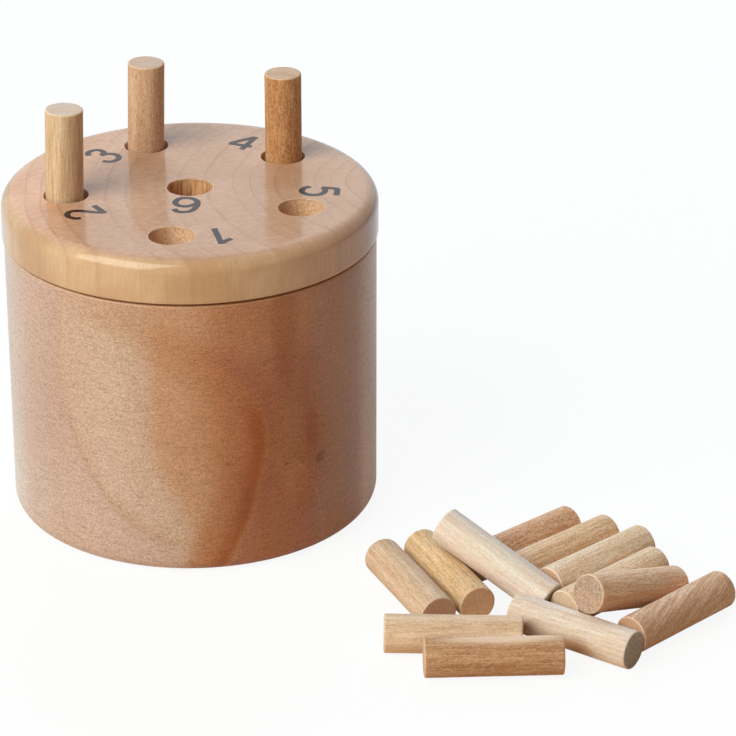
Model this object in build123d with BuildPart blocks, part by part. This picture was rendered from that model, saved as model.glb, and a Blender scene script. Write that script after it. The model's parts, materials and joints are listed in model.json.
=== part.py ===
from build123d import *
import os
from math import cos, radians, sin

# A turned wooden box with six peg holes in its lid, and the pegs and the die of the game.
# Millimetres, +Z up. The origin is the middle of the foot, on the table. +X is to the right and
# +Y is away from someone who looks at the box and the loose pegs from the front.

# The cup
cup_radius = 39.6
cup_height = 61.4
cup_wall = 6.0
cup_floor = 7.0
foot_round = 3.0
inside_round = 3.0

# The lid: a rim that shows, and a spigot under it that drops into the cup
lid_overhang = 0.4  # how far the rim stands out past the cup's wall
rim_height = 10.0
rim_round = 3.1
spigot_height = 6.0
spigot_chamfer = 0.8
spigot_clearance = 0.2
seam_round = 0.45  # broken edges above and below the seam, which make its dark line

# The pegs, cut from 8 mm dowel
peg_radius = 4.0
peg_length = 28.0
peg_chamfer = 0.2
peg_gap = 0.2  # what a leaning peg leaves free above the peg that carries it

# The holes in the lid, as they are drilled on this box: degrees round from +X, seen from above
hole_clearance = 0.7
hole_depth = 8.7
hole_round = 0.25
hole_inset = 13.8  # from the edge of the lid to the middle of each hole of the ring
hole_angles = {1: -95.5, 2: -170.7, 3: 113.7, 4: 42.5, 5: -25.1}

# The pegs that stand in holes: each foot rests close to one side of its hole, in this direction from
# the middle, and the peg leans a little to the right, by this many degrees
standing_places = {2: (206.0, 1.6), 3: (238.0, 1.6), 4: (292.0, 0.0)}
standing_gap = 0.15

# The die that is kept in the cup
die_edge = 16.0
die_round = 1.5
die_turn = 24.0
die_x = 5.0
die_y = 4.0
pip_radius = 1.5
pip_depth = 0.6
pip_spacing = 4.2

# The heap of loose pegs starts at the right-hand end of the peg at its front left. This is how far
# that end stands to the right of the cup, and in front of it.
heap_right = 29.3
heap_front = 33.3

# The loose pegs: where the end that is on the table lies, to the right of the heap's start and
# behind it, both counted in peg diameters, and the way the peg points from there, in degrees round
# from +X, seen from above
loose_places = {
    "loose_peg_01": (-2.09, 1.04, 114.3),
    "loose_peg_02": (-1.09, 1.57, 113.9),
    "loose_peg_03": (0.765, 1.85, 145.3),
    "loose_peg_04": (-1.14, 3.72, 41.4),
    "loose_peg_05": (-0.15, 3.22, 41.5),
    "loose_peg_06": (0.78, 2.58, 42.6),
    "loose_peg_07": (1.10, 1.34, 43.6),
    "loose_peg_08": (4.03, 2.70, 224.2),
    "loose_peg_09": (2.71, -0.01, 44.3),
    "loose_peg_10": (-0.13, 1.23, -34.9),
    "loose_peg_11": (0.0, 0.0, 178.2),
    "loose_peg_12": (0.98, -0.98, 182.6),
}

# The pegs that lean, and the ones that carry them. All the others lie flat on the table.
carriers = {
    "loose_peg_03": ["loose_peg_02", "loose_peg_04", "loose_peg_05"],
    "loose_peg_08": ["loose_peg_10"],
}

# Sizes that follow from the ones above
cup_bore_radius = cup_radius - cup_wall
spigot_radius = cup_bore_radius - spigot_clearance
lid_radius = cup_radius + lid_overhang
lid_top = cup_height + rim_height
hole_circle_radius = lid_radius - hole_inset
hole_radius = peg_radius + hole_clearance
peg_diameter = 2 * peg_radius
heap_x = cup_radius + heap_right
heap_y = -(cup_radius + heap_front)


def save(piece, name):
    """Label a finished piece and write it under its own name."""
    piece.label = name
    export_step(piece, f"parts/{name}.step")


def around(radius, degrees):
    """A point at a distance and a direction, seen from above."""
    return radius * cos(radians(degrees)), radius * sin(radians(degrees))


def make_peg(end):
    """A peg that stands on the plane of its end."""
    with BuildPart() as peg:
        with BuildSketch(end):
            Circle(peg_radius)
        extrude(amount=peg_length)
        chamfer(peg.edges().filter_by(GeomType.CIRCLE), peg_chamfer)
    return peg.part


def end_plane(name, lean=0.0):
    """The end plane of a loose peg, which touches the table and rises from there by its lean."""
    right, back, heading = loose_places[name]
    turn = radians(heading)
    rise = radians(lean)
    x = heap_x + right * peg_diameter
    y = heap_y + back * peg_diameter
    z = peg_radius * cos(rise) - peg_chamfer * sin(rise)
    along = (cos(turn) * cos(rise), sin(turn) * cos(rise), sin(rise))
    return Plane(origin=(x, y, z), x_dir=(-sin(turn), cos(turn), 0), z_dir=along)


def smallest_lean(name, below):
    """The least lean, in degrees, at which a peg clears the ones below it by the gap."""
    low = 0.0
    high = 60.0
    for _ in range(12):
        lean = (low + high) / 2
        peg = make_peg(end_plane(name, lean))
        if min(peg.distance_to(carrier) for carrier in below) < peg_gap:
            low = lean
        else:
            high = lean
    return high


os.makedirs("parts", exist_ok=True)

# The cup: a plain cylinder, bored out from above
with BuildPart() as cup:
    with BuildSketch():
        Circle(cup_radius)
    extrude(amount=cup_height)
    with BuildSketch(Plane.XY.offset(cup_floor)):
        Circle(cup_bore_radius)
    extrude(amount=cup_height - cup_floor, mode=Mode.SUBTRACT)
    rings = cup.edges().filter_by(GeomType.CIRCLE)
    outer_rings = rings.filter_by(lambda edge: edge.radius > cup_bore_radius + cup_wall / 2)
    inner_rings = rings.filter_by(lambda edge: edge.radius < cup_bore_radius + cup_wall / 2)
    fillet(outer_rings.sort_by(Axis.Z)[0], foot_round)
    fillet(inner_rings.sort_by(Axis.Z)[0], inside_round)
    mouth_rings = cup.edges().filter_by(GeomType.CIRCLE).group_by(Axis.Z)[-1]
    fillet(mouth_rings, seam_round)
save(cup.part, "cup")

# The lid: rim and spigot from one block, five blind holes, and the sixth right through
with BuildPart() as lid:
    with BuildSketch(Plane.XY.offset(cup_height)):
        Circle(lid_radius)
    extrude(amount=rim_height)
    rim_rings = lid.edges().filter_by(GeomType.CIRCLE).sort_by(Axis.Z)
    fillet(rim_rings[0], seam_round)
    fillet(rim_rings[-1], rim_round)
    with BuildSketch(Plane.XY.offset(cup_height)):
        Circle(spigot_radius)
    extrude(amount=-spigot_height)
    chamfer(lid.edges().filter_by(GeomType.CIRCLE).sort_by(Axis.Z)[0], spigot_chamfer)
    places = [around(hole_circle_radius, angle) for angle in hole_angles.values()]
    with Locations(*[(x, y, lid_top) for x, y in places]):
        Hole(hole_radius, hole_depth)
    with Locations((0, 0, lid_top)):
        Hole(hole_radius)
    mouths = lid.edges().filter_by(lambda edge: edge.geom_type == GeomType.CIRCLE)
    mouths = mouths.filter_by(lambda edge: abs(edge.radius - hole_radius) < hole_round)
    fillet(mouths.group_by(Axis.Z)[-1], hole_round)
    fillet(mouths.group_by(Axis.Z)[0], hole_round)
save(lid.part, "lid")

# The pegs that stand in holes 2, 3 and 4, on the holes' bottoms
for number, (side, lean) in standing_places.items():
    hole_x, hole_y = around(hole_circle_radius, hole_angles[number])
    off_x, off_y = around(hole_clearance - standing_gap, side)
    tip_x, tip_z = sin(radians(lean)), cos(radians(lean))
    bottom_z = lid_top - hole_depth + (peg_radius - peg_chamfer) * tip_x
    origin = (hole_x + off_x, hole_y + off_y, bottom_z)
    bottom = Plane(origin=origin, x_dir=(tip_z, 0, -tip_x), z_dir=(tip_x, 0, tip_z))
    save(make_peg(bottom), f"standing_peg_{number}")

# The loose pegs: first the flat ones, then the two that lean on them
loose = {}
for name in loose_places:
    if name not in carriers:
        loose[name] = make_peg(end_plane(name))
for name, below in carriers.items():
    lean = smallest_lean(name, [loose[carrier] for carrier in below])
    loose[name] = make_peg(end_plane(name, lean))
    print(name, "leans", round(lean, 2), "degrees")
for name, peg in loose.items():
    save(peg, name)

# The die: opposite faces add up to seven
step = pip_spacing
pips = {
    1: [(0, 0)],
    2: [(-step, -step), (step, step)],
    3: [(-step, -step), (0, 0), (step, step)],
    4: [(-step, -step), (-step, step), (step, -step), (step, step)],
    5: [(-step, -step), (-step, step), (0, 0), (step, -step), (step, step)],
    6: [(-step, -step), (-step, 0), (-step, step), (step, -step), (step, 0), (step, step)],
}
die_base = Plane(origin=(die_x, die_y, cup_floor)).rotated((0, 0, die_turn))
die_middle = die_base.offset(die_edge / 2)
die_faces = {
    4: die_middle.z_dir,
    3: -die_middle.z_dir,
    1: die_middle.x_dir,
    6: -die_middle.x_dir,
    2: die_middle.y_dir,
    5: -die_middle.y_dir,
}
pip_out = die_edge / 2 + pip_radius - pip_depth  # from the die's middle to a pip's centre
with BuildPart() as die:
    with BuildSketch(die_base):
        Rectangle(die_edge, die_edge)
    extrude(amount=die_edge)
    fillet(die.edges(), die_round)
    for count, outward in die_faces.items():
        face = Plane(origin=die_middle.origin + outward * pip_out, z_dir=outward)
        with Locations(face):
            with Locations(*pips[count]):
                Sphere(pip_radius, mode=Mode.SUBTRACT)
save(die.part, "die")
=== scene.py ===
# %% [markdown]
# # A peg and dice game in turned wood
#
# The game is a varnished round box with a lid. The lid has six numbered holes: five blind ones in a
# ring and one in the middle that goes right through. Fifteen raw dowel pegs belong to it. Three stand
# in holes and twelve lie in a heap beside the box. A die is kept inside.
#
# The CAD model already says where each piece is, and how it moves. This file gives the pieces their
# wood.

import json
from math import atan2, cos, pi, radians, sin

import bmesh
import bpy
import numpy as np
from mathutils import Matrix, Vector

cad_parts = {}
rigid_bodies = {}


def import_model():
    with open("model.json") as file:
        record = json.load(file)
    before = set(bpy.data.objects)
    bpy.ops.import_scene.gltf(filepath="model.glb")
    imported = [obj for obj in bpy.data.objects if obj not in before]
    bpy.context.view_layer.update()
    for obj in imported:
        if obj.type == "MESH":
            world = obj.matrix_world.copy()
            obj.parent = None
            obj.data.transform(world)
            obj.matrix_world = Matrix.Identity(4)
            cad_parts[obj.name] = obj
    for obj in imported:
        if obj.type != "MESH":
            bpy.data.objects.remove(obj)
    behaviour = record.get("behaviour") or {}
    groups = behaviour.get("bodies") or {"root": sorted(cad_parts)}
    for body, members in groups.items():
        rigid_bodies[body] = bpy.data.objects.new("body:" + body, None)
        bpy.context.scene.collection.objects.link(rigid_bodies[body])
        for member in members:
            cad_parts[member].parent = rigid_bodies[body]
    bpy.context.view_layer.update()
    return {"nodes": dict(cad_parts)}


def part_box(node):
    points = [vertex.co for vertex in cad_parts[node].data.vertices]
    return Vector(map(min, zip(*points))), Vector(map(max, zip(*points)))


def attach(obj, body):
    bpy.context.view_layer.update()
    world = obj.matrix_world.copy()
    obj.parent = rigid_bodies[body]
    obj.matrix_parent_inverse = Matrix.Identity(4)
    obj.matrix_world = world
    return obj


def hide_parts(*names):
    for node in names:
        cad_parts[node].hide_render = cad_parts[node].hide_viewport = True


MM = 0.001  # one millimetre in metres

for leftover in list(bpy.data.objects):
    bpy.data.objects.remove(leftover)
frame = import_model()
nodes = frame["nodes"]
scene = bpy.context.scene


def add_object(name, data):
    """A new object in the scene."""
    added = bpy.data.objects.new(name, data)
    scene.collection.objects.link(added)
    return added


# %% [markdown]
# ## The camera
#
# The photograph was taken with a long lens from a little above: the lid's top is an ellipse less than
# half as high as it is wide, and the cup's sides hardly converge. A camera fitted to the outlines of
# all the pieces gave the numbers below. It looks straight along +Y, so it needs one turn only.

# %% Set up the camera
camera_data = bpy.data.cameras.new("camera")
camera_data.sensor_width = 36.0
camera_data.lens = 172.0
camera_data.clip_start = 0.05
camera = add_object("camera", camera_data)
camera.location = (0.03775, -0.68949, 0.35451)
camera.rotation_euler = (radians(90 - 25.27), 0, 0)
scene.camera = camera
scene.view_settings.view_transform = "Standard"
print("camera", round(camera.location.length, 3), "m from the middle of the box's foot")

# %% [markdown]
# ## Small helpers for node trees
#
# Shader trees and geometry trees are both made of nodes and links, so the same helpers serve both. A
# `Value` is what comes out of a node. Arithmetic with it adds the nodes that do the sum, so a recipe
# such as `noise(place, 9) * 0.5` reads like a sum. A new node goes to the tree of its inputs.


# %% Helpers that add nodes
class Value:
    """What comes out of a node: a number, a vector, a colour or a shape."""

    def __init__(self, socket):
        self.socket = socket

    def __add__(self, other):
        return maths("ADD", self, other)

    def __sub__(self, other):
        return maths("SUBTRACT", self, other)

    def __rsub__(self, other):
        return maths("SUBTRACT", other, self)

    def __mul__(self, other):
        return maths("MULTIPLY", self, other)

    def __truediv__(self, other):
        return maths("DIVIDE", self, other)

    def __abs__(self):
        return maths("ABSOLUTE", self)


def feed(node, inputs):
    """Fill a node's inputs with plain values or with other nodes' outputs."""
    for slot, value in inputs.items():
        if isinstance(value, Value):
            node.id_data.links.new(value.socket, node.inputs[slot])
        else:
            node.inputs[slot].default_value = value


def add_node(tree, kind, inputs=None, **settings):
    """Add a node with its settings, and feed it."""
    node = tree.nodes.new(kind)
    for name, value in settings.items():
        setattr(node, name, value)
    feed(node, inputs or {})
    return node


def outputs_of(node):
    """What comes out of a node, by name."""
    return {socket.name: Value(socket) for socket in node.outputs}


def tree_of(*values):
    """The tree that the first value among some inputs belongs to."""
    return next(value.socket.id_data for value in values if isinstance(value, Value))


def wire(kind, inputs, output=0, **settings):
    """Add a node beside the ones that feed it, and take one of its outputs."""
    return Value(add_node(tree_of(*inputs.values()), kind, inputs, **settings).outputs[output])


def maths(operation, *values):
    """One step of arithmetic, on numbers or on vectors."""
    kind = "ShaderNodeMath"
    if any(isinstance(value, Value) and value.socket.type == "VECTOR" for value in values):
        kind = "ShaderNodeVectorMath"
        values = [(value,) * 3 if isinstance(value, (int, float)) else value for value in values]
    return wire(kind, dict(enumerate(values)), operation=operation)


def length(vector):
    return wire("ShaderNodeVectorMath", {0: vector}, output="Value", operation="LENGTH")


print("nodes can be added, fed and summed")


# %% Helpers for noise, ramps and colours
def noise(place, size, detail=2.0, seed=0.0, roughness=0.5):
    """Soft noise from 0 to 1, with patches about as large as the size."""
    inputs = {"Vector": place, "W": seed, "Scale": 1 / size, "Detail": detail, "Roughness": roughness}
    return wire("ShaderNodeTexNoise", inputs, noise_dimensions="4D")


def grain(place, squeeze, size, *more):
    """Noise that is drawn out along z, the way the fibres run."""
    return noise(place * (1, 1, squeeze), size, *more)


def ramp(value, low, high, bottom=0.0, top=1.0):
    """The value's stretch from low to high, spread from bottom to top and held there."""
    inputs = dict(enumerate((value, low, high, bottom, top)))
    return wire("ShaderNodeMapRange", inputs, interpolation_type="SMOOTHSTEP")


def fall(value, low, high):
    """1 up to low, and 0 from high on."""
    return ramp(value, low, high, 1.0, 0.0)


def mix(share, first, second):
    """Two numbers mixed."""
    return wire("ShaderNodeMix", {0: share, 2: first, 3: second}, data_type="FLOAT")


def blend(share, first, second, mode="MIX"):
    """Two colours mixed."""
    inputs = {0: share, 6: first, 7: second}
    return wire("ShaderNodeMix", inputs, output=2, data_type="RGBA", blend_type=mode)


def tinted(colour, *marks):
    """A colour with marks on it, each a mask and the tint that multiplies the colour there."""
    for mask, tint in marks:
        colour = blend(mask, colour, (*tint, 1.0), "MULTIPLY")
    return colour


def covered(colour, *layers):
    """A colour with layers over it, each a mask and a tone as on the screen."""
    for mask, tone in layers:
        colour = blend(mask, colour, screen(*tone))
    return colour


def apart(place):
    """The x, y and z of a place."""
    return outputs_of(add_node(tree_of(place), "ShaderNodeSeparateXYZ", {0: place})).values()


def together(x, y, z):
    """A place from its x, y and z."""
    return wire("ShaderNodeCombineXYZ", {0: x, 1: y, 2: z})


print("noise, ramps and mixed colours ready")

# %% Helpers for node groups and materials
FLOAT, VECTOR, COLOUR = "NodeSocketFloat", "NodeSocketVector", "NodeSocketColor"
SHAPE, MATERIAL = "NodeSocketGeometry", "NodeSocketMaterial"


def new_group(name, inputs, outputs, kind="ShaderNodeTree"):
    """A node group. Each input is given by its type, or by a number that it has from the start.

    Returns the tree, the values that come in, and the node that takes what goes out."""
    tree = bpy.data.node_groups.new(name, kind)
    for label, start in inputs.items():
        socket_type = start if isinstance(start, str) else FLOAT
        socket = tree.interface.new_socket(label, in_out="INPUT", socket_type=socket_type)
        if socket_type != start:
            socket.default_value = start
    for label, socket_type in outputs.items():
        tree.interface.new_socket(label, in_out="OUTPUT", socket_type=socket_type)
    return tree, outputs_of(add_node(tree, "NodeGroupInput")), add_node(tree, "NodeGroupOutput")


def use_group(group, **inputs):
    """Place a node group with its own inputs. In their names an underscore stands for a space."""
    inputs = {label.replace("_", " "): value for label, value in inputs.items()}
    return outputs_of(add_node(tree_of(*inputs.values()), "ShaderNodeGroup", inputs, node_tree=group))


def new_material(name):
    """A new material, its tree and its shader."""
    material = bpy.data.materials.new(name)
    material.use_nodes = True
    return material, material.node_tree, material.node_tree.nodes["Principled BSDF"]


def noted(tree, name, output):
    """What a mesh has noted on its points."""
    return outputs_of(add_node(tree, "ShaderNodeAttribute", attribute_name=name))[output]


def finish_shader(shader, colour, roughness, relief, strength, distance, others=None):
    """Feed a shader its colour, its roughness and its relief, and whatever else it needs."""
    bump = wire("ShaderNodeBump", {"Height": relief, "Strength": strength, "Distance": distance})
    feed(shader, {"Base Color": colour, "Roughness": roughness, "Normal": bump, **(others or {})})


def screen(red, green, blue):
    """A colour as it looks on the screen, from 0 to 255, turned into the renderer's own scale."""
    parts = []
    for value in (red / 255, green / 255, blue / 255):
        parts.append(value / 12.92 if value <= 0.04045 else ((value + 0.055) / 1.055) ** 2.4)
    return (*parts, 1.0)


print("helpers ready; mid tan is", [round(v, 3) for v in screen(198, 160, 129)])

# %% [markdown]
# ## The table, the backdrop and the light
#
# The photograph is a studio shot on white. The main light is a large soft source on the left and
# above. The white wall behind sends back a cooler light, which lies on the tops. Shaded sides and
# undersides are lit mostly by the table, with light that has already met the wood, so they turn warm.
# The shares below come from a fit: the pieces were rendered in one light at a time, and the mixture
# closest to the photograph was kept. Then the table's part was raised for the undersides of the pegs.
#
# Table and backdrop look white to the camera. For all other light the table is a warm pale paint. It
# also keeps a small share of its own shading in view, so that each piece keeps its soft shadow. In
# reflections that share is large: the varnish on the shaded side mirrors the box's own shadow.


# %% Make the floor, the world and the lamps
def seen_directly(tree, mirrored=1.0):
    """1 for what the camera sees, a share of that in a mirror, and 0 for all other light."""
    path = outputs_of(add_node(tree, "ShaderNodeLightPath"))
    seen = maths("MAXIMUM", path["Is Camera Ray"], path["Is Transmission Ray"])
    return maths("MAXIMUM", seen, path["Is Glossy Ray"] * mirrored)


def shine(tree, kind, colour, strength):
    """A surface or a backdrop that gives off light."""
    return Value(add_node(tree, kind, {"Color": colour, "Strength": strength}).outputs[0])


def make_floor(half=3.0, shadow_share=0.09, mirrored=0.15):
    """A large white floor that keeps part of its shadows in view, and most of them in reflections."""
    mesh = bpy.data.meshes.new("floor")
    corners = [(-half, -half, 0), (half, -half, 0), (half, half, 0), (-half, half, 0)]
    mesh.from_pydata(corners, [], [(0, 1, 2, 3)])
    material, tree, _ = new_material("white_floor")
    tree.nodes.clear()
    tint = blend(seen_directly(tree), (0.85, 0.65, 0.465, 1), (0.98, 0.98, 0.98, 1))
    paint = wire("ShaderNodeBsdfDiffuse", {"Color": tint})
    glow = shine(tree, "ShaderNodeEmission", (1, 1, 1, 1), 1.0)
    share = seen_directly(tree, mirrored) * (1 - shadow_share)
    surface = wire("ShaderNodeMixShader", {0: share, 1: paint, 2: glow})
    add_node(tree, "ShaderNodeOutputMaterial", {"Surface": surface})
    mesh.materials.append(material)
    floor = add_object("floor", mesh)


def make_world(warmth, strength):
    """White where it is seen, and a dimmer warm fill where it lights the pieces."""
    world = bpy.data.worlds.new("studio")
    scene.world = world
    world.use_nodes = True
    tree = world.node_tree
    tree.nodes.clear()
    fill = shine(tree, "ShaderNodeBackground", warmth, strength)
    white = shine(tree, "ShaderNodeBackground", (1, 1, 1, 1), 1.0)
    surface = wire("ShaderNodeMixShader", {0: seen_directly(tree), 1: fill, 2: white})
    add_node(tree, "ShaderNodeOutputWorld", {"Surface": surface})


def make_lamp(name, place, aim, size, watts, colour, mirrored=True):
    """A square soft box that faces a point. One that isn't mirrored leaves no highlight in varnish."""
    data = bpy.data.lights.new(name, "AREA")
    data.size = size
    data.energy = watts
    data.color = colour
    lamp = add_object(name, data)
    lamp.location = place
    lamp.visible_glossy = mirrored
    lamp.rotation_euler = (Vector(aim) - Vector(place)).to_track_quat("-Z", "Y").to_euler()


make_floor()
make_world(warmth=(1.0, 0.60, 0.38, 1), strength=0.10)
middle = (0.03, -0.02, 0.03)
make_lamp("key_soft_box", (-0.65, -0.63, 0.88), middle, size=1.0, watts=16.2, colour=(1.0, 1.05, 0.92))
make_lamp("wall_behind", (0.03, 1.0, 0.67), middle, 0.9, 14.5, (0.40, 0.62, 0.84), mirrored=False)

# %% [markdown]
# ## Measure the CAD
#
# Nothing here repeats the CAD's places. A peg is long and round, so the direction in which its points
# spread most is its axis, and the middle of its box is its middle. The holes are found from the ring
# of points that each one leaves on the lid's top.


# %% Read the pegs' axes and the lid's holes
def cad_points(name):
    """The places of a CAD node's points, each once."""
    flat = np.zeros(len(nodes[name].data.vertices) * 3)
    nodes[name].data.vertices.foreach_get("co", flat)
    return np.unique(flat.reshape(-1, 3).round(7), axis=0)


def peg_stand(name):
    """A matrix that carries a peg from the origin to its place, and the peg's length.

    Its z runs along the peg, towards the end that the camera sees. Its y points up, or away from
    the camera on a standing peg."""
    points = cad_points(name)
    centre = (points.min(0) + points.max(0)) / 2
    spread = np.linalg.svd(points - points.mean(0), full_matrices=False)[2]
    along = Vector(spread[0]).normalized()
    standing = abs(along.z) > 0.9
    towards_camera, up = ((0, 0, 1), (0, 1, 0)) if standing else ((0.4, -1, 0), (0, 0, 1))
    if along.dot(Vector(towards_camera)) < 0:
        along = -along
    across = Vector(up).cross(along).normalized()
    turn = Matrix((across, along.cross(across), along)).transposed().to_4x4()
    return Matrix.Translation(Vector(centre)) @ turn, float(np.ptp((points - centre) @ np.array(along)))


def lid_holes():
    """The middle of each hole on the lid's top, with the radius of its mouth, from the middle outwards."""
    points = cad_points("lid")
    out = np.hypot(points[:, 0], points[:, 1])
    inside_rim, one_hole = out.max() * 0.9, out.max() * 0.3
    on_top = points[(points[:, 2] > points[:, 2].max() - 0.01 * MM) & (out < inside_rim)]
    found = []
    while len(on_top):
        near = np.linalg.norm(on_top[:, :2] - on_top[0, :2], axis=1) < one_hole
        low, high = on_top[near, :2].min(0), on_top[near, :2].max(0)
        found.append((*((low + high) / 2), (high - low).mean() / 2))
        on_top = on_top[~near]
    return sorted(found, key=lambda hole: np.hypot(hole[0], hole[1]))


def in_mm(metres):
    """Measures in millimetres, for a print."""
    return [round(float(measure) / MM, 2) for measure in metres]


peg_names = sorted(name for name in nodes if "peg" in name)
holes = lid_holes()
print(len(peg_names), "pegs,", len(holes), "holes:", [in_mm(hole) for hole in holes])

# %% [markdown]
# ## The wood of a dowel, its stains and painted highlights
#
# Real wood is never even. A stain is a soft patch of another colour, where heartwood or a bruise
# comes to the surface. The same soft patch also paints highlights and shade on a few pegs. The dowels
# were cut along the grain from many boards and left raw. So each has its own tone, long thin streaks,
# short dark pores and pale lifted fibres. Its ends are cut across the grain, look darker and speckled,
# and have a pale rubbed rim. One group makes all of this from a place in the dowel's own frame, and
# each peg gives it other values.

# %% Node groups: stain and painted highlight, and dowel wood
PEG_RADIUS, PEG_HALF_LENGTH = 4.0, 14.0  # in millimetres


def make_stain_and_highlight():
    """A soft patch round a centre: 1 inside, 0 outside."""
    inputs = {"Place": VECTOR, "Centre": VECTOR, "Reach": VECTOR}
    tree, given, end = new_group("stain_and_highlight", inputs, {"Mask": FLOAT})
    offset = given["Place"] - given["Centre"]
    ragged = (noise(offset, 2.5, 3) - 0.5) * 0.3
    distance = ragged + length(offset / given["Reach"])
    feed(end, {"Mask": fall(distance, 0.35, 1.0)})
    return tree


def make_dowel_wood():
    """Colour and relief of raw dowel, from a place in the dowel's frame in millimetres."""
    inputs = {"Place": VECTOR, "Light Tone": COLOUR, "Dark Tone": COLOUR, "End Tone": COLOUR}
    inputs |= dict.fromkeys(("Streaks", "Pores", "Fuzz", "Twist", "Seed"), FLOAT)
    tree, given, end = new_group("dowel_wood", inputs, {"Color": COLOUR, "Height": FLOAT})
    seed, light, dark = given["Seed"], given["Light Tone"], given["Dark Tone"]
    x, y, z = apart(given["Place"])
    turned = {"Vector": given["Place"], "Angle": z * given["Twist"]}
    place = wire("ShaderNodeVectorRotate", turned, rotation_type="Z_AXIS")
    deep = blend(1.0, dark, (0.68, 0.60, 0.52, 1), "MULTIPLY")
    pale = blend(0.35, light, (1.0, 0.92, 0.8, 1))

    # The side: broad bands and fine streaks, then pores and lifted fibres
    broad = grain(place, 0.05, 2.0, 2, seed)
    streak = grain(place, 0.05, 0.2, 2, seed, 0.6) * 0.5 + grain(place, 0.06, 0.42, 3, seed, 0.6) * 0.5
    pore = ramp(grain(place, 0.35, 0.2, 2, seed, 0.6), 0.50, 0.66)
    fibre = ramp(grain(place, 0.45, 0.24, 2, seed + 7.0, 0.6), 0.50, 0.66)
    share = ramp(broad, 0.32, 0.68) * 0.45 + ramp(streak, 0.40, 0.60) * given["Streaks"]
    side = blend(share, light, dark)
    side = blend(pore * given["Pores"], side, deep)
    side = blend(fibre * given["Fuzz"], side, pale)

    # The ends: specks and layers, then the rubbed rim
    to_end = PEG_HALF_LENGTH - abs(z)
    to_side = PEG_RADIUS - length(together(x, y, 0.0))
    is_end = fall(to_end, 0.03, 0.14)
    speck = grain(place, 0.0, 0.26, 2, seed, 0.7)
    layer = noise(place * (0.25, 1, 0), 0.9, 1, seed)
    cut = blend(ramp(speck, 0.35, 0.7, 0.0, 0.6), given["End Tone"], pale)
    cut = blend(ramp(layer, 0.4, 0.7) * 0.3, cut, dark)
    cut = blend(ramp(speck, 0.30, 0.46, 0.30, 0.0), cut, deep)
    edge = fall(to_end + to_side, 0.05, 0.30)
    colour = blend(edge * 0.65, blend(is_end, side, cut), pale)
    relief = fibre * 0.5 + (pore * -0.6 + streak)
    feed(end, {"Color": colour, "Height": mix(is_end, relief, speck)})
    return tree


stain_and_highlight = make_stain_and_highlight()
dowel_wood = make_dowel_wood()
print("groups:", [g.name for g in bpy.data.node_groups])

# %% [markdown]
# ## The pegs
#
# On the real game these are short lengths sawn from 8 mm dowel, with their edges hardly broken. They
# aren't perfect: fibres stand up or tear out along the side, and the saw leaves the ends a little
# fuzzy with chipped edges.
#
# All fifteen follow one rule, so one Geometry Nodes tree makes them. It starts from a cylinder with
# many rings, writes down where each point is in the peg's own frame, and then pushes points inwards:
# along the side by noise that is drawn out along the fibres, on the ends by finer noise, and at the
# edge by more, in chips. Nothing is pushed outwards, so a peg never grows past its CAD solid.


# %% Geometry Nodes: a dowel peg
def finish_shape(end, shape, smooth, material):
    """The last steps of both geometry trees."""
    shape = wire("GeometryNodeSetShadeSmooth", {"Geometry": shape, "Shade Smooth": smooth})
    shape = wire("GeometryNodeRealizeInstances", {"Geometry": shape})
    feed(end, {0: wire("GeometryNodeSetMaterial", {"Geometry": shape, "Material": material})})


def make_dowel_tree():
    """A peg round Z, with its middle at the origin. Depths and the edge are in millimetres."""
    inputs = {"Radius": PEG_RADIUS * MM, "Length": FLOAT, "Edge": 0.34, "Side Depth": FLOAT}
    inputs |= {"Fibre Length": 7.0, "End Depth": 0.07, "Chip Depth": 0.16, "Edge Wear": 0.09}
    inputs |= {"Seed": FLOAT, "Wood": MATERIAL}
    tree, given, end = new_group("dowel_peg", inputs, {"Geometry": SHAPE}, "GeometryNodeTree")
    size = {"Vertices": 110, "Side Segments": 100, "Fill Segments": 14}
    size |= {"Radius": given["Radius"], "Depth": given["Length"]}
    blank = wire("GeometryNodeMeshCylinder", size, fill_type="TRIANGLE_FAN")
    place = outputs_of(add_node(tree, "GeometryNodeInputPosition"))["Position"]
    note = {"Geometry": blank, "Name": "peg_place", "Value": place}
    blank = wire("GeometryNodeStoreNamedAttribute", note, data_type="FLOAT_VECTOR")

    # Work in millimetres from here, and turn the push back into metres at the end
    place = place / MM
    x, y, z = apart(place)
    flat = together(x, y, 0.0)
    to_end = given["Length"] / (2 * MM) - abs(z)
    to_side = given["Radius"] / MM - length(flat)
    skin = 0.05
    on_side, on_end = fall(to_side, 0.0, skin), fall(to_end, 0.0, skin)
    at_edge = fall(to_end + to_side, 0.0, given["Edge"])
    fibres = noise(together(x, y, z / given["Fibre Length"]), 0.7, 3, given["Seed"])
    chips = ramp(noise(place, 1.1, 2, given["Seed"]), 0.56, 0.72)
    worn = at_edge * (chips * given["Chip Depth"] + given["Edge Wear"])
    saw = noise(place, 0.6, 3, given["Seed"])
    inwards = (fibres * given["Side Depth"] * on_side + worn) * -MM
    down = (saw * given["End Depth"] * on_end + worn) * -MM
    push = maths("NORMALIZE", flat) * inwards + together(0.0, 0.0, maths("SIGN", z) * down)
    peg = wire("GeometryNodeSetPosition", {"Geometry": blank, "Offset": push})
    finish_shape(end, peg, True, given["Wood"])
    return tree


def grow(tree, name, start=None, **values):
    """Run a geometry tree with these inputs, and return what it makes as a plain mesh."""
    worker = add_object(name, start or bpy.data.meshes.new(name))
    modifier = worker.modifiers.new("tree", "NODES")
    modifier.node_group = tree
    sockets = {s.name: s.identifier for s in tree.interface.items_tree if s.in_out == "INPUT"}
    for label, value in values.items():
        modifier[sockets[label.replace("_", " ")]] = value
    depsgraph = bpy.context.evaluated_depsgraph_get()
    made = worker.evaluated_get(depsgraph)
    mesh = bpy.data.meshes.new_from_object(made, preserve_all_data_layers=True, depsgraph=depsgraph)
    bpy.data.objects.remove(worker)
    mesh.name = name
    return mesh


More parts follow.
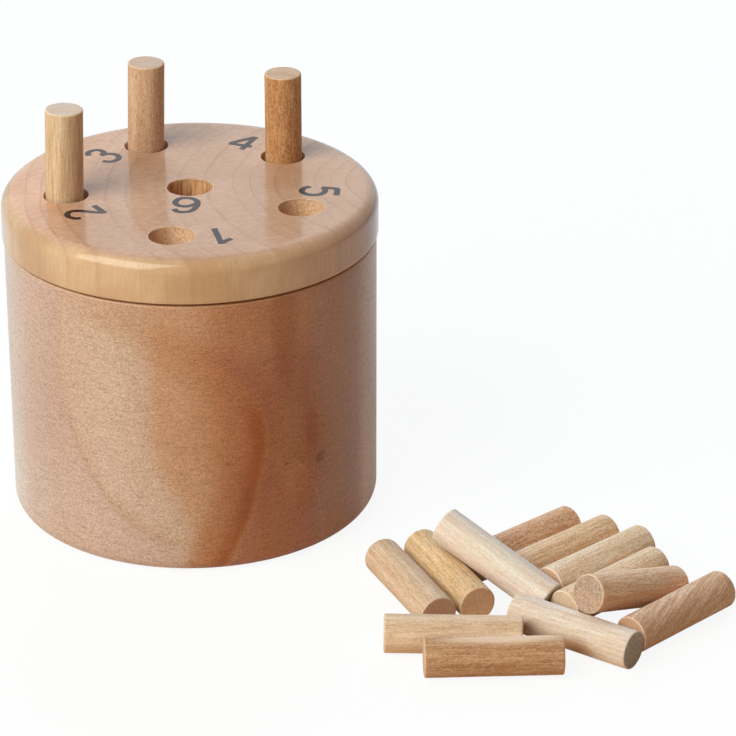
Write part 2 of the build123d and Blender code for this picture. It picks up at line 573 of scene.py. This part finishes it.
def finish_piece(name, mesh, body, slot, *replaced):
    """A finished piece at the origin, on its body, in place of its CAD nodes."""
    piece = add_object(name, mesh)
    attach(piece, body)
    if replaced:
        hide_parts(*replaced)


dowel_peg = make_dowel_tree()
print("dowel_peg has", len(dowel_peg.nodes), "nodes")

# %% [markdown]
# ## Give each peg its own wood
#
# Laid side by side in the photograph, no two pegs match. Each row below has three tones first: the
# light wood, its streaks, and its ends. Then it says how strong the streaks, the pores and the lifted
# fibres are, how the grain slants, and how deep the side is pitted. A few pegs carry stains as well,
# and a few carry painted highlights and painted shade.

# %% The look of each peg
# Tones as on the screen, then streaks, pores, fuzz, slant in degrees, and pits in millimetres
peg_looks = {
    "standing_peg_2": ((237, 211, 186), (206, 170, 135), (212, 184, 170), 0.8, 0.3, 0.15, 0, 0.02),
    "standing_peg_3": ((227, 190, 162), (194, 149, 116), (205, 173, 158), 0.45, 0.6, 0.6, 0, 0.09),
    "standing_peg_4": ((222, 172, 122), (185, 127, 79), (205, 171, 151), 0.95, 1, 0.5, 0, 0.09),
    "loose_peg_01": ((240, 214, 195), (206, 171, 140), (200, 142, 103), 0.7, 0.55, 0.35, 0, 0.05),
    "loose_peg_02": ((245, 213, 176), (209, 170, 127), (223, 168, 127), 0.75, 0.6, 0.42, 0, 0.06),
    "loose_peg_03": ((255, 245, 240), (236, 209, 191), (200, 170, 140), 0.6, 0.4, 0.4, 0, 0.04),
    "loose_peg_04": ((243, 200, 168), (206, 152, 115), (180, 140, 108), 0.9, 1, 0.6, 0, 0.06),
    "loose_peg_05": ((253, 219, 189), (219, 175, 136), (186, 146, 112), 0.95, 0.88, 0.5, 0, 0.05),
    "loose_peg_06": ((255, 238, 219), (229, 191, 157), (206, 152, 108), 0.85, 0.75, 0.45, 0, 0.05),
    "loose_peg_07": ((251, 222, 197), (223, 185, 150), (222, 190, 162), 0.9, 0.96, 0.5, 0, 0.03),
    "loose_peg_08": ((255, 228, 199), (238, 182, 143), (154, 122, 112), 0.9, 0.8, 0.45, 0, 0.03),
    "loose_peg_09": ((242, 208, 186), (203, 156, 123), (205, 157, 121), 1.0, 0.7, 0.4, 24, 0.07),
    "loose_peg_10": ((249, 232, 224), (221, 193, 172), (122, 103, 96), 0.6, 0.35, 0.35, 0, 0.03),
    "loose_peg_11": ((249, 222, 200), (215, 176, 143), (200, 168, 134), 0.6, 0.45, 0.5, 0, 0.05),
    "loose_peg_12": ((218, 175, 139), (179, 126, 88), (206, 178, 150), 0.8, 0.55, 0.45, 0, 0.06),
}
# Stains and painted highlights: middle and reach in the peg's frame in millimetres, tone and strength
peg_stains_and_highlights = {
    # Peg 03: a painted highlight along its upper far edge
    "loose_peg_03": [((2.6, 2.9, 0), (1.3, 1.3, 14), (255, 252, 248), 0.8)],
    # Peg 08: a painted highlight along its upper far edge
    "loose_peg_08": [((-1.7, 3.6, 1), (1.1, 1.0, 13), (255, 244, 232), 0.8)],
    # Peg 10: a brown stain on its underside, partly painted shade
    "loose_peg_10": [((-3.8, -1.2, 1), (2.3, 2.3, 9), (206, 156, 112), 0.8)],
    "loose_peg_12": [
        # Peg 12: a paler top, partly pinker wood and partly painted highlight, then a dark nick
        ((0.6, 3.9, 2), (2.8, 1.8, 17), (246, 214, 188), 0.85),
        ((1.6, 3.6, -9.5), (0.35, 0.6, 3.5), (112, 70, 46), 0.8),
    ],
}
RAW_SHEEN = {
    "IOR": 1.45,
    "Specular IOR Level": 0.3,
    "Subsurface Weight": 0.25,
    "Subsurface Radius": (1.0, 0.45, 0.2),
    "Subsurface Scale": 0.0015,
    "Sheen Weight": 0.12,
    "Sheen Roughness": 0.25,
    "Sheen Tint": (1.0, 0.93, 0.86, 1.0),
}
print(len(peg_looks), "looks,", len(peg_stains_and_highlights), "of them with stains")


# %% Materials and meshes of the pegs
def peg_material(name, look, seed):
    """Raw dowel with the tones and marks of one peg."""
    light, dark, end, streaks, pores, fuzz, slant, _ = look
    material, tree, shader = new_material(f"raw_dowel_{name}")
    place = noted(tree, "peg_place", "Vector") / MM
    tones = {"Light_Tone": screen(*light), "Dark_Tone": screen(*dark), "End_Tone": screen(*end)}
    marks = {"Streaks": streaks, "Pores": pores, "Fuzz": fuzz, "Twist": radians(slant) / PEG_RADIUS}
    wood = use_group(dowel_wood, Place=place, Seed=seed, **tones, **marks)
    colour = wood["Color"]
    # Stains, painted highlights and painted shade, laid over the wood
    for centre, reach, tone, strength in peg_stains_and_highlights.get(name, ()):
        mask = use_group(stain_and_highlight, Place=place, Centre=centre, Reach=reach)["Mask"]
        colour = covered(colour, (mask * strength, tone))
    rough = ramp(wood["Height"], 0.2, 1.1, 0.72, 0.52)
    finish_shader(shader, colour, rough, wood["Height"], 0.5, 0.12 * MM, RAW_SHEEN)
    return material


for order, name in enumerate(peg_names):
    seed = order * 3.7
    wood = peg_material(name, peg_looks[name], seed)
    matrix, long = peg_stand(name)
    pits = peg_looks[name][-1]
    mesh = grow(dowel_peg, f"turned_{name}", Length=long, Side_Depth=pits, Seed=seed, Wood=wood)
    mesh.set_sharp_from_angle(angle=radians(50))
    mesh.transform(matrix)
    finish_piece(f"turned_{name}", mesh, name, name, name)
    print(name, in_mm([long]), "mm,", len(mesh.polygons), "faces")

# %% [markdown]
# ## The cup and the lid
#
# Both are turned on a lathe, so their shape is half a profile spun round the axis. A screw modifier
# could spin it, but the holes in the lid then have to be cut afterwards, and a cut leaves untidy
# edges. Here the profile's points are spun in code, each hole gets its own small profile, and the flat
# faces between them are filled last.
#
# A hole in end grain is never clean: the drill tears fibres out of its wall and chips its mouth. So
# the points of the walls are pushed outwards a little, into the wood.

# %% Sizes of the turned pieces, in millimetres, held against the CAD
cup_radius, cup_height, cup_bore, cup_floor = 39.6, 61.4, 33.6, 7.0
foot_round, inside_round, seam_round = 3.0, 3.0, 0.45
lid_radius, rim_round, spigot_radius, spigot_height, spigot_chamfer = 40.0, 3.1, 33.4, 6.0, 0.8
hole_radius, hole_depth, hole_round = 4.7, 8.7, 0.25
lid_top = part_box("lid")[1].z / MM


# %% Helpers that spin profiles
def arc(centre_r, centre_z, radius, start, stop, steps=8):
    """Points of a rounded edge in the half profile, between two angles in degrees."""
    angles = [radians(start + (stop - start) * i / steps) for i in range(steps + 1)]
    return [(centre_r + radius * cos(a), centre_z + radius * sin(a)) for a in angles]


def upright(r, low, high, steps):
    """Points up or down a straight wall, without its ends."""
    return [(r, low + (high - low) * i / steps) for i in range(1, steps)]


def with_rawness(points, rawness):
    """Profile points that also say how raw the wood is: 0 under varnish, 1 bare."""
    return [(r, z, rawness) for r, z in points]


def spin(bm, profile, segments, middle=(0.0, 0.0), torn=None):
    """Spin a half profile round an upright axis. A point on the axis becomes one vertex.

    `torn` may push a point outwards: it gets the angle, radius and height and returns a distance."""
    raw = bm.verts.layers.float["raw"]
    rings = []
    for r, z, rawness in profile:
        ring = []
        for i in range(1 if r == 0 else segments):
            angle = 2 * pi * i / segments
            reach = r + (torn(angle, r, z) if torn and r else 0.0)
            vertex = bm.verts.new((middle[0] + reach * cos(angle), middle[1] + reach * sin(angle), z))
            vertex[raw] = rawness
            ring.append(vertex)
        rings.append(ring)
    for low, high in zip(rings, rings[1:]):
        for i in range(segments):
            j = (i + 1) % segments
            corners = [low[i % len(low)], low[j % len(low)], high[j % len(high)], high[i % len(high)]]
            bm.faces.new(list(dict.fromkeys(corners)))
    return rings


def fill_flat(bm, *rings):
    """Fill the flat face between an outer ring of vertices and the rings of its holes."""
    edges = []
    for ring in rings:
        for a, b in zip(ring, ring[1:] + ring[:1]):
            edges.append(bm.edges.get((a, b)) or bm.edges.new((a, b)))
    bmesh.ops.triangle_fill(bm, use_beauty=True, use_dissolve=False, edges=edges)


def new_turning():
    """An empty bmesh that notes on each vertex how raw its wood is."""
    bm = bmesh.new()
    bm.verts.layers.float.new("raw")
    return bm


def to_mesh(bm, name):
    """Turn millimetres into metres, close the seams, point the faces outwards and make a mesh."""
    bmesh.ops.remove_doubles(bm, verts=bm.verts, dist=1e-4)
    bmesh.ops.recalc_face_normals(bm, faces=bm.faces)
    bmesh.ops.scale(bm, vec=(MM, MM, MM), verts=bm.verts)
    mesh = bpy.data.meshes.new(name)
    bm.to_mesh(mesh)
    open_edges = sum(len(edge.link_faces) != 2 for edge in bm.edges)
    bm.free()
    mesh.shade_smooth()
    mesh.set_sharp_from_angle(angle=radians(40))
    print(name, len(mesh.polygons), "faces,", open_edges, "open edges")
    return mesh


# %% Turn the cup
ROUND_STEPS = 256
flat_ring = 0.5  # on a flat face, a ring of points lies this far from where the round begins
edge_z = cup_height - seam_round
outside = [(0.0, 0.0), (20.0, 0.0), (cup_radius - foot_round - flat_ring, 0.0)]
outside += arc(cup_radius - foot_round, foot_round, foot_round, -90, 0, 12)
outside += upright(cup_radius, foot_round, edge_z, 24)
outside += arc(cup_radius - seam_round, edge_z, seam_round, 0, 90)
# The lip under the seam gets part of the raw wall's paler colour: a painted highlight.
outside = [(r, z, 0.0 if z < cup_height - 0.3 else 0.45) for r, z in outside]  # painted highlight: the lip is made partly raw, so paler
inside = arc(cup_bore + seam_round, edge_z, seam_round, 90, 180)
inside += upright(cup_bore, edge_z, cup_floor + inside_round, 20)
inside += arc(cup_bore - inside_round, cup_floor + inside_round, inside_round, 0, -90)
inside += [(cup_bore - inside_round - flat_ring, cup_floor), (16.0, cup_floor), (0.0, cup_floor)]
turning = new_turning()
spin(turning, outside + with_rawness(inside, 1.0), ROUND_STEPS)
cup_mesh = to_mesh(turning, "turned_cup")

# %% Turn the lid and drill its holes
seat, slant = 0.8, 0.3  # the rim rests on the cup this far out from the spigot, and then rises
seam_gap, lip_round = 0.68, 0.15  # to the height of the seam's dark line, up to a lip with this round
rim_end, rim_slope = 74, 0.27  # where the rim's round ends, in degrees, and how it runs out into the top
lip_ring, top_ring, collar = 0.4, 0.7, 0.35  # rings of points on the flats by the lip, the rim, the holes
tear, swing, most = 0.035, 0.03, 0.16  # how far a wall is torn: evenly, in waves, and the waves at most


def drill_marks(seed):
    """How far a drill has torn the wall of a hole at a place, in millimetres."""
    draw = np.random.default_rng(seed)
    waves = []
    for k in range(3, 40, 2):
        waves.append((k, draw.uniform(0.6, 1.0) / k**0.6, draw.uniform(0, 2 * pi), draw.uniform(-0.9, 0.9)))

    def torn(angle, r, z):
        if not hole_radius - 0.01 <= r <= hole_radius + hole_round:
            return 0.0
        down = (lid_top - z) * 2
        wobble = sum(size * sin(k * angle + shift + lean * down) for k, size, shift, lean in waves)
        return tear + min(max(swing * wobble, -swing), most)

    return torn


spigot_foot = cup_height - spigot_height
lip_z = cup_height + seam_gap
outside = [(spigot_radius - spigot_chamfer, spigot_foot), (spigot_radius, spigot_foot + spigot_chamfer)]
outside += upright(spigot_radius, spigot_foot + spigot_chamfer, cup_height, 4)
outside += [(spigot_radius, cup_height), (spigot_radius + seat, cup_height)]
outside += [(spigot_radius + seat + slant, lip_z), (lid_radius - lip_round - lip_ring, lip_z)]
outside += arc(lid_radius - lip_round, lip_z + lip_round, lip_round, -90, 0, 4)
outside += upright(lid_radius, lip_z + lip_round, lid_top - rim_round, 6)
outside += arc(lid_radius - rim_round, lid_top - rim_round, rim_round, 0, rim_end, 12)
end_r, end_z = outside[-1]
outside += [(end_r - (lid_top - end_z) / rim_slope, lid_top), (lid_radius - rim_round - top_ring, lid_top)]
turning = new_turning()
shell = spin(turning, with_rawness(outside, 0.0), ROUND_STEPS)

bend = hole_radius + hole_round
mouth = [(bend + collar, lid_top, 0.0)]
mouth += with_rawness(arc(bend, lid_top - hole_round, hole_round, 90, 180, 5), 0.3)
top_edges, foot_edges = [shell[-1]], [shell[0]]
for number, (x, y, _) in enumerate(holes):
    through = number == 0  # the one in the middle
    bottom = spigot_foot if through else lid_top - hole_depth
    wall_end = bottom + (hole_round if through else 0.0)
    profile = mouth + with_rawness(upright(hole_radius, lid_top - hole_round, wall_end, 26), 1.0)
    if through:
        profile += with_rawness(arc(bend, bottom + hole_round, hole_round, 180, 270, 5), 0.5)
        profile += [(bend + collar, bottom, 0.0)]
    else:
        profile += [(hole_radius * share, bottom, 1.0) for share in (1, 0.97, 0.5, 0)]
    rings = spin(turning, profile, 96, (x / MM, y / MM), drill_marks(number + 1))
    top_edges.append(rings[0])
    if through:
        foot_edges.append(rings[-1])
fill_flat(turning, *top_edges)
fill_flat(turning, *foot_edges)
lid_mesh = to_mesh(turning, "turned_lid")

# %% [markdown]
# ## Varnished wood for the cup and the lid
#
# The varnish is a clear skin: it darkens and warms the wood a little and mirrors the room. The lid's
# top is cut across the grain, so it looks paler and pinker than its golden rim.
#
# A tree grows in rings round its heart, and each ring ends in a thin darker line. Rays are the fine
# flecks that point from the heart outwards. On the lid both are worked out in space: each point asks
# how far it is from the heart of the trunk, which lay to the right of the lid. So they match from the
# top to the rim without a seam. The cup comes from the outside of a trunk that bowed, and there a ring
# shows as a large loop. Its figure is drawn on the unrolled side: the loop on the left, a
# ridge in the middle, and a reddish stain of heartwood to the right.


# %% Shared looks of varnished and raw wood
def object_place(tree):
    """Where a point lies, in millimetres."""
    return outputs_of(add_node(tree, "ShaderNodeTexCoord"))["Object"] / MM


def varnished(name):
    """A new material with its shader, the place in millimetres, and how raw the wood is."""
    material, tree, shader = new_material(name)
    feed(shader, {"IOR": 1.45})
    return material, shader, object_place(tree), noted(tree, "raw", "Fac")


def way_round(x, y, radius):
    """How far a place lies to the right of the front, measured along the turned side."""
    return maths("ARCTAN2", x, y * -1.0) * radius


def raw_wall(place):
    """Torn, unvarnished wood inside a hole or the cup: its colour and its relief."""
    torn = grain(place, 0.5, 0.32, 3, 2.0, 0.75)
    colour = blend(ramp(torn, 0.36, 0.56), screen(206, 152, 114), screen(232, 194, 162))
    colour = covered(colour, (ramp(torn, 0.56, 0.68, 0.0, 0.6), (252, 234, 214)))
    # The hole right through the middle is browner, with ridges along it
    x, y, _ = apart(place)
    ridges = grain(place, 0.08, 0.7, 2, 4.0)
    in_middle = fall(length(together(x, y, 0.0)), 6.0, 7.0)
    brown = blend(ramp(ridges, 0.44, 0.56), screen(158, 88, 44), screen(232, 172, 118))
    return blend(in_middle * 0.7, colour, brown), torn


def close_up(shader, place, raw, colour, relief, gloss):
    """Join the varnished and the raw finish, and feed the shader."""
    raw_colour, torn = raw_wall(place)
    colour = blend(raw, colour, raw_colour)
    finish_shader(shader, colour, mix(raw, gloss, 0.75), mix(raw, relief, torn), 1.0, 0.1 * MM)


print("varnished and raw finishes ready")


# %% Material of the lid
def growth_rings(place, heart, ring_width, wander, seed):
    """The rings' lines, their late wood and the rays' flecks at a place in the trunk."""
    x, y, z = apart(place - heart)
    drift = grain(place, 0.3, 22, 2, seed) - 0.5
    away = drift * wander + length(together(x, y, 0.0))
    age = away / ring_width
    uneven = noise(together(age, 0.0, 0.0), 1.7, 1, seed)
    phase = maths("FRACT", uneven * 2.2 + age)
    line = ramp(phase, 0.84, 0.96) * fall(phase, 0.965, 1.0)
    line = line * ramp(grain(place, 0.3, 9, 2, seed + 5.0), 0.36, 0.62, 0.35, 1.0)
    arc_place = together(maths("ARCTAN2", y, x) * 45.0, away * 0.2, z * 0.3)
    return line, ramp(phase, 0.25, 0.95), noise(arc_place, 0.3, 3, seed, 0.7)


def lid_material():
    material, shader, place, raw = varnished("varnished_lid")
    line, late, ray = growth_rings(place, heart=(52, 3, 0), ring_width=4.4, wander=3.0, seed=4.0)
    x, y, z = apart(place)
    end_grain = ramp(z, lid_top - 0.55, lid_top - 0.03)
    patches = ramp(noise(place, 14, 3, 3.0), 0.35, 0.65)
    around = way_round(x, y, lid_radius)
    fibre = noise(together(around, 0.0, z * 0.08), 0.5, 4, 8.0, 0.65)
    side = blend(patches, screen(221, 185, 151), screen(202, 159, 120))
    side = covered(side, (ramp(fibre, 0.36, 0.68, 0.0, 0.34), (192, 142, 98)))
    # Painted shade on the rim: darker and redder to the right, away from the lamp, and a little darker on
    # its lit left
    right, left = ramp(around, 12, 44), ramp(around, -16, -40)
    side = tinted(side, (right, (0.88, 0.76, 0.74)), (left, (0.92, 0.95, 1.0)))
    top = blend(patches, screen(212, 169, 144), screen(204, 159, 132))
    # Painted light: the top is lighter towards the left. It is also a little darker towards the front.
    left, front = ramp(x, -14, -32), ramp(y, -20, -33)
    top = tinted(top, (left, (1.25, 1.16, 1.09)), (front, (0.97, 0.93, 0.89)))
    rays = ramp(end_grain, 0.0, 1.0, 0.25, 1.0)
    colour = covered(
        blend(end_grain, side, top),
        (late * 0.10, (186, 138, 104)),
        (line * ramp(end_grain, 0.0, 1.0, 0.14, 0.29), (150, 98, 72)),
        (ramp(ray, 0.34, 0.60, 0.30, 0.0) * rays, (166, 116, 88)),
        (ramp(ray, 0.52, 0.72, 0.0, 0.26) * rays, (232, 200, 176)),
    )
    relief = noise(place, 6.0, 2, 1.0) * 0.5 + ray * 0.02
    close_up(shader, place, raw, colour, relief, ramp(ray, 0.3, 0.7, 0.10, 0.16))
    return material


lid_mesh.materials.append(lid_material())
finish_piece("turned_lid", lid_mesh, "lid", "lid", "lid")
print("the lid's varnish has", len(lid_mesh.materials[0].node_tree.nodes), "nodes")


# %% Material of the cup
def drawn_line(along, span, points):
    """A line drawn through given points in millimetres: how far across it lies at each place along."""
    node = add_node(tree_of(along), "ShaderNodeFloatCurve", {"Value": along / span})
    low, high = min(across for _, across in points), max(across for _, across in points)
    curve = node.mapping.curves[0]
    for index, (place, across) in enumerate(points):
        spot = (place / span, (across - low) / (high - low))
        if index in (0, len(points) - 1):
            curve.points[min(index, 1)].location = spot
        else:
            curve.points.new(*spot)
    node.mapping.update()
    return Value(node.outputs[0]) * (high - low) + low


def loop(unrolled, centre, radii, wander):
    """How far a place on the unrolled side lies outside an oval, in millimetres. Inside is negative."""
    offset = unrolled - (centre[0], 0, centre[1])
    drift = noise(unrolled, 9.0, 3) - 0.5
    return (length(offset / (radii[0], 1, radii[1])) - 1.0) * radii[0] + drift * wander


def patch(unrolled, centre, reach):
    """A soft patch round a centre on the unrolled side."""
    sizes = {"Centre": (centre[0], 0, centre[1]), "Reach": (reach[0], 1, reach[1])}
    return use_group(stain_and_highlight, Place=unrolled, **sizes)["Mask"]


def thin_line(distance, half_width):
    return fall(abs(distance), 0.0, half_width)


def hill(value, foot, top, edge, end):
    """0 up to the foot, 1 from the top to the edge, and 0 again from the end."""
    return ramp(value, foot, top) * fall(value, edge, end)


# The cup's ridge: height over the table, and how far to the right of the front
ridge_line = [
    (0, 7), (6, 9.7), (11, 11.8), (17, 13.9), (23.5, 15.1), (29.4, 16), (35.2, 15.3), (41, 12.4),
    (46.9, 6.8), (52.7, -0.6), (61.4, -11.8),
]
# Patches on the cup's front, its knot and three specks: middle and reach, right and up, and tint
cup_patches = [
    ((21.8, 56), (4.5, 20), (0.85, 0.72, 0.53)),
    ((28.4, 29), (2.4, 8), (0.93, 0.80, 0.72)),
    ((22, 28), (6.5, 13), (1.045, 1.212, 1.25)),
    ((24.5, 17), (4.5, 8), (1.126, 1.25, 1.25)),
    ((19, 6), (7, 7), (0.992, 0.983, 0.787)),
    ((30.8, 21.8), (2.0, 1.8), (0.62, 0.55, 0.5)),
    ((8.8, 25.2), (0.6, 0.5), (0.6, 0.5, 0.45)),
    ((21.8, 22.9), (0.45, 0.45), (0.5, 0.42, 0.4)),
    ((47.2, 54.5), (0.5, 0.4), (0.3, 0.25, 0.25)),
]


def cup_material():
    material, shader, place, raw = varnished("varnished_cup")
    x, y, z = apart(place)
    around = way_round(x, y, cup_radius)
    unrolled = together(around, 0.0, z)
    outer = loop(unrolled, (3, 50), (32, 43.2), 1.5)
    arch = loop(unrolled, (22.3, 0), (9.2, 22.8), 0.6)
    wander = noise(unrolled, 8.0, 2, 2.0) - 0.5
    ridge = around - drawn_line(z, cup_height, ridge_line)
    ridge = ridge * ramp(z, 36.0, 50.0, 0.97, 0.62) + wander * 1.6
    leaning = around - ramp(z, 8.0, 30.0, 8.0, 0.0)
    left, right = hill(around, -110, -60, -8, 4), fall(around, 26, 36)

    # The large loop on the left, the ridge from the middle to the right, and the edges: painted
    # reflections on both edges, and painted shade further round to the right
    marks = [
        # painted reflection: the left edge paler and bluer
        (hill(around, -100, -52, -50, -38), (1.05, 1.18, 1.24)),
        (hill(around, -36, -30, -24, -18), (0.975, 0.945, 0.915)),
        (ramp(outer, -0.5, 0.8) * left, (0.93, 0.905, 0.97)),
        (hill(outer, -12, -0.5, -0.5, 0.8) * left, (0.977, 0.965, 0.977)),
        (thin_line(outer, 2.0) * left * ramp(z, 14, 42, 1.0, 0.3), (0.91, 0.86, 0.78)),
        (fall(z, 5, 34) * left, (1.06, 1.13, 1.16)),
        (ramp(leaning, -11, -3) * right, (0.93, 0.736, 0.561)),
        (ramp(leaning, -2, 10) * right, (0.86, 0.64, 0.475)),
        (hill(ridge, -12, -1, 0, 7), (0.915, 0.798, 0.683)),
        (hill(ridge, -4.5, -0.3, -0.2, 1.3) * fall(z, 33.0, 42.0), (0.841, 0.625, 0.379)),
        (hill(ridge, -10, -6, -0.5, 1.5) * fall(z, 14, 28), (0.891, 0.776, 0.68)),
        (ramp(ridge, 0, 3) * fall(z, 44, 54) * right, (0.86, 0.775, 0.86)),
        # browner and darker round to the right: partly the wood's own colour, partly painted shade
        (hill(around, 26, 36, 60, 110), (0.89, 0.68, 0.42)),
        (hill(around, 25, 36, 43, 49), (0.80, 0.615, 0.475)),
        # painted reflection: the right edge paler towards the foot
        (hill(around, 41, 48, 60, 110) * fall(z, 8, 45), (1.22, 1.28, 1.28)),
        (ramp(abs(around), 60, 95), (0.98, 0.90, 0.78)),
        (thin_line(arch, 0.45) * ramp(around, 22, 25), (1.12, 1.2, 1.3)),
    ]
    marks += [(patch(unrolled, centre, reach), tint) for centre, reach, tint in cup_patches]

    # Fine marks all over: pores, and the dashes that the lathe leaves
    speck = grain(place, 1.3, 0.36, 3, 6.0, 0.75)
    dash = noise(together(around * 0.1, 0.0, z), 0.3, 2, 2.0, 0.6)
    marks += [
        (fall(speck, 0.30, 0.52), (0.69, 0.60, 0.54)),
        (ramp(speck, 0.48, 0.72), (1.40, 1.49, 1.60)),
        (fall(dash, 0.34, 0.50), (0.86, 0.82, 0.80)),
    ]
    patches = ramp(grain(place, 0.4, 16, 3, 5.0), 0.3, 0.7)
    colour = tinted(blend(patches, screen(207, 177, 161), screen(201, 169, 151)), *marks)
    relief = speck * 0.12 + (dash * 0.12 + noise(place, 7.0, 2, 2.0) * 0.5)
    close_up(shader, place, raw, colour, relief, ramp(speck, 0.3, 0.7, 0.26, 0.36))
    return material


cup_mesh.materials.append(cup_material())
finish_piece("turned_cup", cup_mesh, "cup", "cup", "cup")
print("the cup's varnish has", len(cup_mesh.materials[0].node_tree.nodes), "nodes")

# %% [markdown]
# ## The die
#
# The die is inside the closed cup, out of the photograph's sight. Its CAD solid already has the
# rounded edges and the pips, so a copy of that mesh is used. The copy's loose triangles are merged
# first, and the faces that lie inside a pip get the ink.


# %% Make the die from a copy of its CAD mesh
def die_copy():
    """The die's mesh. Material 0 is its wood and material 1 the ink of its pips."""
    bm = bmesh.new()
    bm.from_mesh(nodes["die"].data)
    bmesh.ops.remove_doubles(bm, verts=bm.verts, dist=1e-6)
    low, high = (Vector(corner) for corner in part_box("die"))
    centre, half = (low + high) / 2, (high.z - low.z) / 2
    top = [v.co for v in bm.verts if v.co.z > high.z - 1e-6]
    corner = max(top, key=lambda co: (co - centre).xy.length)
    turn = atan2(corner.y - centre.y, corner.x - centre.x) - pi / 4
    square = Matrix.Rotation(-turn, 3, "Z")
    for face in bm.faces:
        face.smooth = True
        spot = square @ (face.calc_center_median() - centre)
        _, second, first = sorted(abs(v) for v in spot)
        # In a pip: below the flat of the face, and clear of the rounded edges
        face.material_index = int(first < half - 0.03 * MM and second < half - 1.6 * MM)
    mesh = bpy.data.meshes.new("wooden_die")
    bm.to_mesh(mesh)
    bm.free()
    mesh.set_sharp_from_angle(angle=radians(35))
    return mesh


def plain_material(name, light, dark, size, rough):
    """Two tones in a fine grain along y, for the die, its pips and the ink of the numbers."""
    material, tree, shader = new_material(name)
    fine = noise(object_place(tree) * (1, 0.1, 1), size, 3, 1.0, 0.6)
    colour = blend(ramp(fine, 0.35, 0.65), screen(*light), screen(*dark))
    finish_shader(shader, colour, ramp(fine, 0.3, 0.7, rough, rough + 0.1), fine, 0.5, 0.05 * MM)
    return material


die_mesh = die_copy()
die_mesh.materials.append(plain_material("die_wood", (228, 198, 160), (206, 168, 124), 0.5, 0.45))
die_mesh.materials.append(plain_material("pip_ink", (40, 34, 32), (30, 26, 26), 0.3, 0.4))
finish_piece("wooden_die", die_mesh, "die", "die", "die")
pips = sum(face.material_index for face in die_mesh.polygons)
print("die:", pips, "of", len(die_mesh.polygons), "faces are pips")

# %% [markdown]
# ## The numbers
#
# The numbers 1 to 6 are printed on the lid in a dark ink, one beside each hole, with their tops
# turned outwards. A text object would be quick, but its font has other shapes. These are drawn as
# strokes of an even width, as the printed ones are: each stroke is a short curve, and a tree lays a
# thin flat band of ink along it. Where strokes meet, one lies a hair above the other, so that no two
# faces share a plane.


# %% Geometry Nodes: a stroke of ink
def make_ink_tree():
    """Lay a flat band of ink along each curve."""
    inputs = {"Geometry": SHAPE, "Width": 1.3 * MM, "Thickness": 0.01 * MM, "Ink": MATERIAL}
    tree, given, end = new_group("ink_stroke", inputs, {"Geometry": SHAPE}, "GeometryNodeTree")
    line = wire("GeometryNodeSetCurveNormal", {"Curve": given["Geometry"]}, mode="Z_UP")
    sizes = {"Width": given["Width"], "Height": given["Thickness"]}
    band = wire("GeometryNodeCurvePrimitiveQuadrilateral", sizes)
    parts = {"Curve": line, "Profile Curve": band, "Fill Caps": True}
    finish_shape(end, wire("GeometryNodeCurveToMesh", parts), False, given["Ink"])
    return tree


ink_tree = make_ink_tree()
print("ink_stroke has", len(ink_tree.nodes), "nodes")

# %% Draw the six numbers
# Points of each stroke in millimetres: right and up from the number's middle
number_strokes = {
    1: [
        [(0.85, 4.15), (0.85, -4.15)],
        [(0.75, 3.75), (0.1, 3.1), (-0.7, 2.4), (-1.65, 1.95)],
    ],
    2: [
        [(-2.35, 2.2), (-1.85, 3.3), (-0.4, 3.95), (1.1, 3.55), (1.85, 2.4), (1.5, 1.0), (0.3, -0.4),
         (-1.1, -1.7), (-2.1, -2.95)],
        [(-2.7, -3.3), (2.15, -3.3)],
    ],
    3: [
        [(-2.2, 2.4), (-1.6, 3.5), (-0.2, 4.0), (1.15, 3.5), (1.55, 2.4), (1.0, 1.2), (-0.35, 0.6)],
        [(-0.3, 0.6), (1.1, 0.25), (2.0, -0.8), (1.95, -2.3), (0.9, -3.5), (-0.7, -3.8), (-1.85, -3.1),
         (-2.3, -2.0)],
    ],
    4: [
        [(1.4, 4.4), (1.4, -3.6)],
        [(1.2, 4.0), (-2.35, -1.0)],
        [(-2.6, -1.25), (2.85, -1.25)],
    ],
    5: [
        [(-1.35, 3.65), (2.4, 3.65)],
        [(-1.2, 3.9), (-1.8, 0.2)],
        [(-1.7, 0.45), (-0.8, 1.0), (0.5, 1.05), (1.9, 0.35), (2.5, -1.2), (2.0, -2.85), (0.5, -3.75),
         (-1.15, -3.4), (-2.1, -2.2)],
    ],
    6: [
        [(2.3, 2.3), (1.7, 3.45), (0.4, 3.95), (-1.2, 3.3), (-2.1, 1.4), (-2.35, -0.8), (-1.75, -2.75),
         (0.2, -3.75), (1.8, -3.1), (2.3, -1.9)],
        [(2.1, -2.5), (2.35, -1.5), (1.85, 0.1), (0.5, 0.85), (-1.0, 0.4), (-2.2, -0.9)],
    ],
}
# Where each number stands, in millimetres, and the way its top points, in degrees round from +X
number_places = {
    1: (7.83, -26.3, -77), 2: (-21.2, -13.8, -147), 3: (-19.3, 17.8, 137), 4: (10.3, 25.3, 68),
    5: (27.6, -2.0, -4), 6: (-0.3, -9.8, -92),
}
ink_height, layer_height = 0.008, 0.003  # of the first stroke over the lid, and of each next one over it


def number_curve(number):
    """The strokes of one number as a curve, at its place on the lid."""
    data = bpy.data.curves.new(f"strokes_{number}", "CURVE")
    data.dimensions = "3D"
    data.resolution_u = 8
    x, y, up = number_places[number]
    turn = Matrix.Rotation(radians(up - 90), 3, "Z")
    for layer, stroke in enumerate(number_strokes[number]):
        height = lid_top + ink_height + layer_height * layer
        spline = data.splines.new("BEZIER")
        spline.bezier_points.add(len(stroke) - 1)
        for point, (right, top) in zip(spline.bezier_points, stroke):
            point.co = (Vector((x, y, height)) + turn @ Vector((right, top, 0))) * MM
            point.handle_left_type = point.handle_right_type = "AUTO"
    return data


ink = plain_material("black_ink", (30, 22, 30), (44, 34, 42), 0.4, 0.22)
for number in number_strokes:
    mesh = grow(ink_tree, f"number_{number}", start=number_curve(number), Ink=ink)
    finish_piece(f"number_{number}", mesh, "lid", "lid")
    print("number", number, len(mesh.polygons), "faces")
